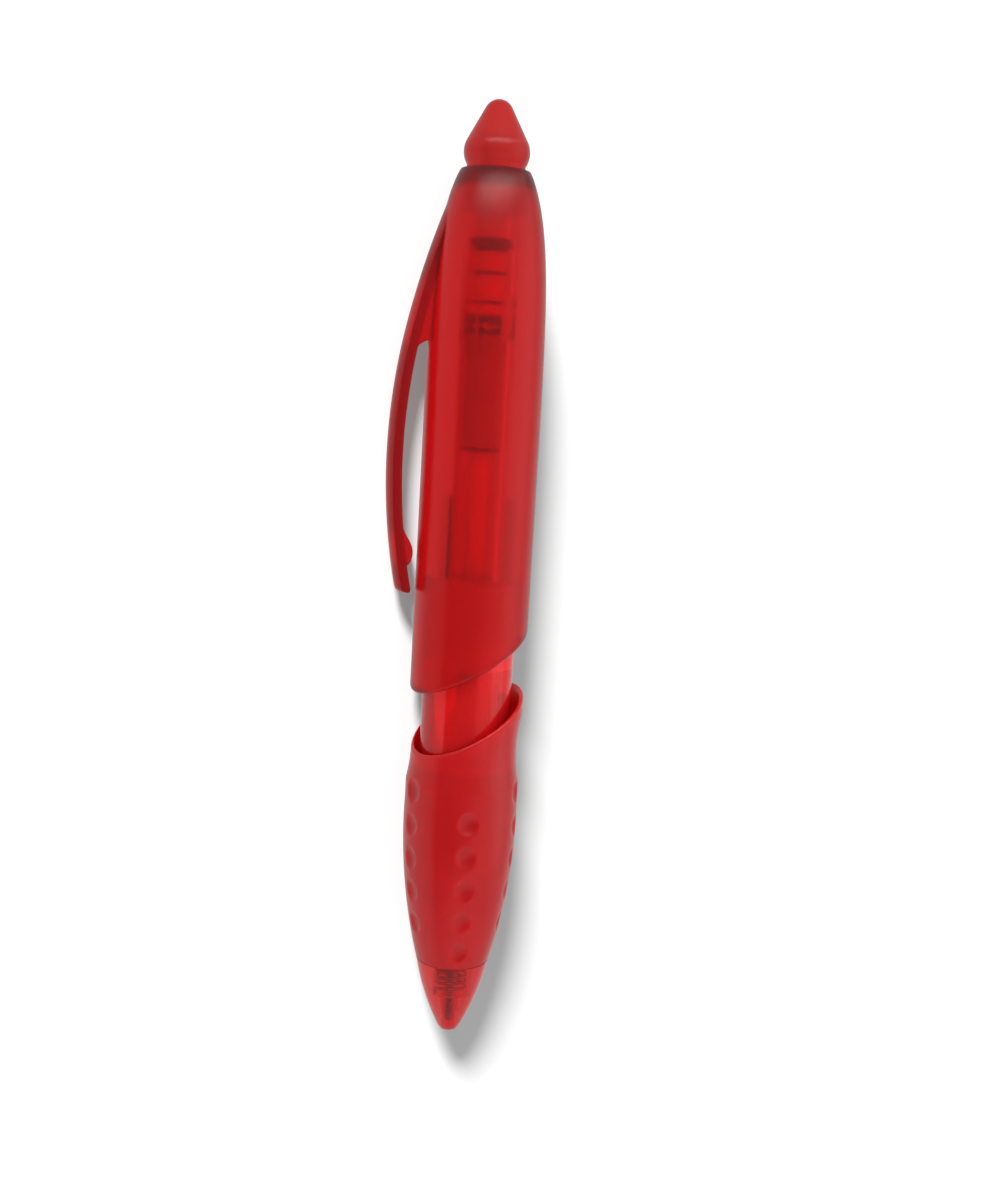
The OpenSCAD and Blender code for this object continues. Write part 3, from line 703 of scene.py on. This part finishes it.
# its zone bands are painted shade: dark lines at the stop ring, the two thin rings and the crown
plungerLook = {"cloudScale": 200.0, "tintA": (0.94, 0.2, 0.18), "tintB": (0.97, 0.25, 0.23),
               "grainScale": 1500.0, "roughA": 0.1, "roughB": 0.14, "clear": 0.15, "ior": 1.47,
               "lightAndShadeBands": [(110.9, 0.8, 0.3, 0.3), (107.3, 0.22, 0.35, 0.09), (103.5, 0.22, 0.4, 0.09),
                         (100.9, 1.0, 0.25, 0.4)]}
# tinted darker than the plunger; its zone bands are painted shade lines at its lower end and by the crown
rotorLook = {**plungerLook, "tintA": (0.62, 0.11, 0.1), "tintB": (0.68, 0.14, 0.13),
             "lightAndShadeBands": [(84.0, 0.3, 0.4, 0.12), (99.9, 0.6, 0.3, 0.24)]}
# its zone band darkens the refill under the grip's collar and the bare tube, a painted shade
refillLook = {"cloudScale": 200.0, "tintA": (0.94, 0.12, 0.12), "tintB": (0.97, 0.16, 0.15),
              "grainScale": 1200.0, "roughA": 0.08, "roughB": 0.12, "clear": 0.1, "ior": 1.45,
              "lightAndShadeBands": [(44.0, 10.0, 0.12, 3.0)]}
inkLook = {"cloudScale": 300.0, "tintA": (0.62, 0.02, 0.03), "tintB": (0.7, 0.025, 0.035),
           "grainScale": 800.0, "roughA": 0.1, "roughB": 0.2, "clear": 0.0, "ior": 1.4}
springLook = {"tintA": (0.42, 0.41, 0.4), "tintB": (0.6, 0.59, 0.58), "roughA": 0.25, "roughB": 0.4,
              "stretch": (1, 1, 1)}
pointLook = {"tintA": (0.62, 0.42, 0.16), "tintB": (0.75, 0.55, 0.24), "roughA": 0.2, "roughB": 0.35,
             "stretch": (1, 8, 1)}
ballLook = {"tintA": (0.6, 0.6, 0.62), "tintB": (0.7, 0.7, 0.72), "roughA": 0.08, "roughB": 0.14,
            "stretch": (1, 1, 1)}
metalMarks = {"scale": 4000.0, "detail": 3.0, "bump": 0.08, "bumpDepth": 0.00001}


def metalFinish(name, look):
    finish, tree, shader = newFinish(name)
    marks = grain(tree, metalMarks["scale"], metalMarks["detail"], look["stretch"])
    tree.links.new(tintBetween(tree, marks, look["tintA"], look["tintB"]), shader.inputs["Base Color"])
    tree.links.new(fadeTo(tree, marks, look["roughA"], look["roughB"]), shader.inputs["Roughness"])
    shader.inputs["Metallic"].default_value = 1.0
    addBump(tree, shader, marks, metalMarks["bump"], metalMarks["bumpDepth"])
    return finish


# the barrel is frosted outside and smooth in its bores, with a painted light on the socket's faces; the
# clip arm's flanks carry a dark painted shade and the web below them a lighter painted shade
barrelZones = {"bore": 1, "socket": 2, "flank": 3, "web": 4, "flankFacing": 0.8, "flankMargin": 0.1,
               "clipFrom": 6, "ribFrom": 95, "ribTo": 105, "ribMargin": 0.02, "boreMargin": 0.1,
               "boreFacing": 0.3, "socketMargin": 0.05}


def dressBarrel():
    b = barrelZones
    for face in frostedBarrel.data.polygons:
        spot = toPen @ face.center * perMetre
        facing = toPen.to_3x3() @ face.normal
        radius = math.hypot(spot.x, spot.y)
        outward = (facing.x * spot.x + facing.y * spot.y) / radius
        onClip = abs(spot.y) < clip["halfWidth"] + b["flankMargin"] and spot.x > b["clipFrom"]
        if onClip and abs(facing.y) > b["flankFacing"]:
            onArm = clipOuter(spot.z) - spot.x < clip["thick"]
            face.material_index = b["flank"] if onArm else b["web"]
        rib = b["ribFrom"] < spot.z < b["ribTo"] and radius < barrel["boreRadius"] - b["ribMargin"]
        inside = radius < barrel["socketRadius"] + b["boreMargin"] and outward < b["boreFacing"]
        if inside and not rib:
            inSocket = spot.z < barrel["socketZ"] - b["socketMargin"]
            face.material_index = b["socket"] if inSocket else b["bore"]


# clear nose, hazier tube, haziest where the barrel covers it
coreZones = {"tube": 1, "sleeve": 2, "tubeMargin": 0.2}


def dressCore():
    for face in clearCore.data.polygons:
        z = (toPen @ face.center).z * perMetre
        if z > core["shelfZ"] - coreZones["tubeMargin"]:
            face.material_index = coreZones["sleeve"] if z > barrel["edgeZ"] else coreZones["tube"]


def dress(piece, *finishes):
    piece.data.materials.clear()
    for finish in finishes:
        piece.data.materials.append(finish)


dress(frostedBarrel, plasticFinish("frostedRedPlastic", frostedLook),
      plasticFinish("boreRedPlastic", boreLook), plasticFinish("socketLightRedPlastic", socketLightLook),
      plasticFinish("flankShadeRedPlastic", flankShadeLook), plasticFinish("webShadeRedPlastic", webShadeLook))
dressBarrel()
dress(clearCore, plasticFinish("noseRedPlastic", noseLook), plasticFinish("tubeRedPlastic", tubeLook),
      plasticFinish("sleeveRedPlastic", sleeveLook))
dressCore()
dress(softGrip, plasticFinish("softRedRubber", gripLook))
dress(clickButton, plasticFinish("buttonRedPlastic", buttonLook))
dress(nodes["plunger"], plasticFinish("plungerRedPlastic", plungerLook))
dress(nodes["rotor_cam"], plasticFinish("rotorRedPlastic", rotorLook))
dress(nodes["refill_tube"], plasticFinish("refillPlastic", refillLook))
dress(nodes["ink_column"], plasticFinish("redInk", inkLook))
dress(coilSpring, metalFinish("drawnSpringSteel", springLook))
dress(nodes["refill_point"], metalFinish("turnedBrass", pointLook))
dress(nodes["writing_ball"], metalFinish("polishedBall", ballLook))
print("finishes set")

# camera: seen from beside the clip, a little towards the button
shot = {"turn": 81.4785, "rise": 8.4885, "away": 191.5918, "aimZ": 63.3439, "roll": 3.4062, "aside": 4.4654,
        "lens": 41.253, "sensor": 36.0, "near": 0.005, "far": 20.0}


def makeCamera():
    turn, rise, roll = (math.radians(shot[k]) for k in ("turn", "rise", "roll"))
    back = Vector((math.cos(rise) * math.cos(turn), math.cos(rise) * math.sin(turn), math.sin(rise)))
    right = Vector((0, 0, 1)).cross(back).normalized()
    up = back.cross(right)
    eye = Vector((0, 0, shot["aimZ"])) + right * shot["aside"] + back * shot["away"]
    # a picture turned clockwise is a camera turned the other way
    rolledRight = right * math.cos(roll) + up * math.sin(roll)
    rolledUp = up * math.cos(roll) - right * math.sin(roll)
    turnRow = toRow.to_3x3()
    axes = [(turnRow @ v).normalized() for v in (rolledRight, rolledUp, back)]
    camera = bpy.data.objects.new("camera", bpy.data.cameras.new("camera"))
    bpy.context.scene.collection.objects.link(camera)
    camera.matrix_world = Matrix.Translation(toRow @ (eye * mm)) @ Matrix(axes).transposed().to_4x4()
    camera.data.lens = shot["lens"]
    camera.data.sensor_width = shot["sensor"]
    camera.data.clip_start, camera.data.clip_end = shot["near"], shot["far"]
    bpy.context.scene.camera = camera
    return axes


lookRight, lookUp, lookBack = makeCamera()
print("camera looks back along", [round(v, 3) for v in lookBack])

# floor and light: a bright studio with a dark patch behind the camera
studio = {"floorSize": 4.0, "floorTint": (0.13, 0.13, 0.13), "floorRough": 0.9, "floorGlow": 0.615,
          "floorGloss": 0.68, "floorLift": 0.2}
sky = {"level": 0.52, "dark": 0.02, "across": -0.35, "halfWidth": 0.95, "up": -0.07, "halfHeight": 0.62,
       "soft": 0.3, "backFrom": -0.45, "backTo": -0.15, "backPush": 2,
       "fillNear": 1.6, "fillFar": 0.4, "fillAside": 0.35, "fillFrom": -0.4, "fillTo": 0.9}
softBox = {"across": 0.1, "up": 0.56, "halfWidth": 0.7, "halfHeight": 0.1, "level": 6.5}
sideBox = {"across": 1.0, "up": 0.0, "halfWidth": 0.14, "halfHeight": 0.9, "level": 1.05}
shadowLamp = {"from": (-1.05, 1.45, 1.0), "away": 0.5, "spread": 12.5, "power": 35.0}


def makeFloor():
    half = studio["floorSize"] / 2
    corners = [(-half, -half, 0), (half, -half, 0), (half, half, 0), (-half, half, 0)]
    mesh = bpy.data.meshes.new("floor")
    mesh.from_pydata(corners, [], [(0, 1, 2, 3)])
    floor = bpy.data.objects.new("floor", mesh)
    bpy.context.scene.collection.objects.link(floor)
    finish, tree, shader = newFinish("paleFloor")
    shader.inputs["Base Color"].default_value = (*studio["floorTint"], 1)
    shader.inputs["Roughness"].default_value = studio["floorRough"]
    shader.inputs["Specular IOR Level"].default_value = 0.0
    # the camera sees a white floor with the pen's shadow, clear plastic and gloss see an even pale one
    path = tree.nodes.new("ShaderNodeLightPath")
    either = tree.nodes.new("ShaderNodeMath")
    either.operation = "MAXIMUM"
    shine = tree.nodes.new("ShaderNodeMapRange")
    shine.inputs["To Min"].default_value = studio["floorGloss"]
    shine.inputs["To Max"].default_value = studio["floorGlow"]
    lift = tree.nodes.new("ShaderNodeMath")
    lift.operation = "MULTIPLY"
    lift.inputs[1].default_value = studio["floorLift"]
    shader.inputs["Emission Color"].default_value = (1, 1, 1, 1)
    glow = tree.nodes.new("ShaderNodeEmission")
    mix = tree.nodes.new("ShaderNodeMixShader")
    tree.links.new(path.outputs["Is Camera Ray"], lift.inputs[0])
    tree.links.new(lift.outputs["Value"], shader.inputs["Emission Strength"])
    tree.links.new(path.outputs["Is Transmission Ray"], either.inputs[0])
    tree.links.new(path.outputs["Is Glossy Ray"], either.inputs[1])
    tree.links.new(path.outputs["Is Transmission Ray"], shine.inputs["Value"])
    tree.links.new(shine.outputs["Result"], glow.inputs["Strength"])
    tree.links.new(either.outputs["Value"], mix.inputs["Fac"])
    tree.links.new(shader.outputs["BSDF"], mix.inputs[1])
    tree.links.new(glow.outputs["Emission"], mix.inputs[2])
    tree.links.new(mix.outputs["Shader"], tree.nodes["Material Output"].inputs["Surface"])
    dress(floor, finish)
    return floor


def makeSky():
    world = bpy.data.worlds.new("studio")
    bpy.context.scene.world = world
    world.use_nodes = True
    tree = world.node_tree
    background = tree.nodes["Background"]
    background.inputs["Color"].default_value = (1, 1, 1, 1)
    place = tree.nodes.new("ShaderNodeTexCoord")

    def along(axis):
        dot = tree.nodes.new("ShaderNodeVectorMath")
        dot.operation = "DOT_PRODUCT"
        dot.inputs[1].default_value = axis
        tree.links.new(place.outputs["Generated"], dot.inputs[0])
        return dot.outputs["Value"]

    def fade(value, low, high, first, second, curve="SMOOTHSTEP"):
        shade = tree.nodes.new("ShaderNodeMapRange")
        shade.interpolation_type = curve
        shade.clamp = curve == "SMOOTHSTEP"
        shade.inputs["From Min"].default_value = low
        shade.inputs["From Max"].default_value = high
        shade.inputs["To Min"].default_value = first
        shade.inputs["To Max"].default_value = second
        tree.links.new(value, shade.inputs["Value"])
        return shade.outputs["Result"]

    def distance(shape):  # one at the shape's edge, and far off in the half of the sky behind the pen
        spot = tree.nodes.new("ShaderNodeCombineXYZ")
        acrossEdge, upEdge = shape["across"] + shape["halfWidth"], shape["up"] + shape["halfHeight"]
        across = fade(along(lookRight), shape["across"], acrossEdge, 0, 1, "LINEAR")
        up = fade(along(lookUp), shape["up"], upEdge, 0, 1, "LINEAR")
        behind = fade(along(lookBack), sky["backFrom"], sky["backTo"], sky["backPush"], 0)
        tree.links.new(across, spot.inputs["X"])
        tree.links.new(up, spot.inputs["Y"])
        tree.links.new(behind, spot.inputs["Z"])
        away = tree.nodes.new("ShaderNodeVectorMath")
        away.operation = "LENGTH"
        tree.links.new(spot.outputs["Vector"], away.inputs[0])
        return away.outputs["Value"]

    def softShape(shape, inside, outside):
        return fade(distance(shape), 1 - sky["soft"], 1 + sky["soft"], inside, outside)

    level = softShape(sky, sky["dark"], sky["level"])
    for box in (softBox, sideBox):
        both = tree.nodes.new("ShaderNodeMath")
        both.operation = "MAXIMUM"
        tree.links.new(level, both.inputs[0])
        tree.links.new(softShape(box, box["level"], 0), both.inputs[1])
        level = both.outputs["Value"]
    # gloss and clear plastic show the patch and boxes, and matt surfaces
    # get a broad light from the camera's side
    path = tree.nodes.new("ShaderNodeLightPath")
    matt = tree.nodes.new("ShaderNodeMix")
    toFill = (lookBack + lookRight * sky["fillAside"]).normalized()
    fill = fade(along(toFill), sky["fillFrom"], sky["fillTo"], sky["fillFar"], sky["fillNear"])
    tree.links.new(path.outputs["Diffuse Depth"], matt.inputs["Factor"])
    tree.links.new(level, matt.inputs["A"])
    tree.links.new(fill, matt.inputs["B"])
    seen = tree.nodes.new("ShaderNodeMix")  # the camera sees plain white
    seen.inputs["B"].default_value = 1.0
    tree.links.new(path.outputs["Is Camera Ray"], seen.inputs["Factor"])
    tree.links.new(matt.outputs["Result"], seen.inputs["A"])
    tree.links.new(seen.outputs["Result"], background.inputs["Strength"])


def makeShadowLamp(floor):  # lights the floor only, where it casts the pen's shadow
    lamp = bpy.data.lights.new("shadowLamp", "SUN")
    lamp.energy = shadowLamp["power"]
    lamp.angle = math.radians(shadowLamp["spread"])
    holder = bpy.data.objects.new("shadowLamp", lamp)
    bpy.context.scene.collection.objects.link(holder)
    direction = Vector(shadowLamp["from"])
    holder.location = direction.normalized() * shadowLamp["away"]
    holder.rotation_euler = (-direction).to_track_quat("-Z", "Y").to_euler()
    holder.visible_glossy = False
    holder.visible_transmission = False
    lit = bpy.data.collections.new("shadowLampLit")
    lit.objects.link(floor)
    holder.light_linking.receiver_collection = lit


floor = makeFloor()
makeSky()
makeShadowLamp(floor)
bpy.context.scene.view_settings.view_transform = "Standard"
print("floor and light set")
